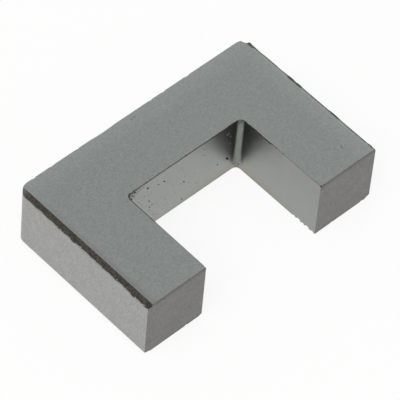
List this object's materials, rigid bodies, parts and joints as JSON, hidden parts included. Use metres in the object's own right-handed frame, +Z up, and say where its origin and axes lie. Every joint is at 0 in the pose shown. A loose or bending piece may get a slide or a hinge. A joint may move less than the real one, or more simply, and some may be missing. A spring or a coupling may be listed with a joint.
{
  "type": "ferrite u core",
  "caption": "Pressed and sintered ferrite U core: legs with ground pole faces joined by a back bar, chamfered outer leg edges and a window for the coil.",
  "frame": {"origin": "middle of the footprint, on the broad face that the core lies on", "axes": "+X across the legs from left to right, -Y the way the pole faces look, +Z up through the thickness"},
  "size_m": [0.0256, 0.016, 0.0063],
  "materials": {
    "ferrite": "sintered manganese-zinc ferrite, tumbled grey faces, ground pole faces, dark as-fired chamfers"
  },
  "bodies": {
    "root": {"u_core": "ferrite"}
  },
  "joints": []
}
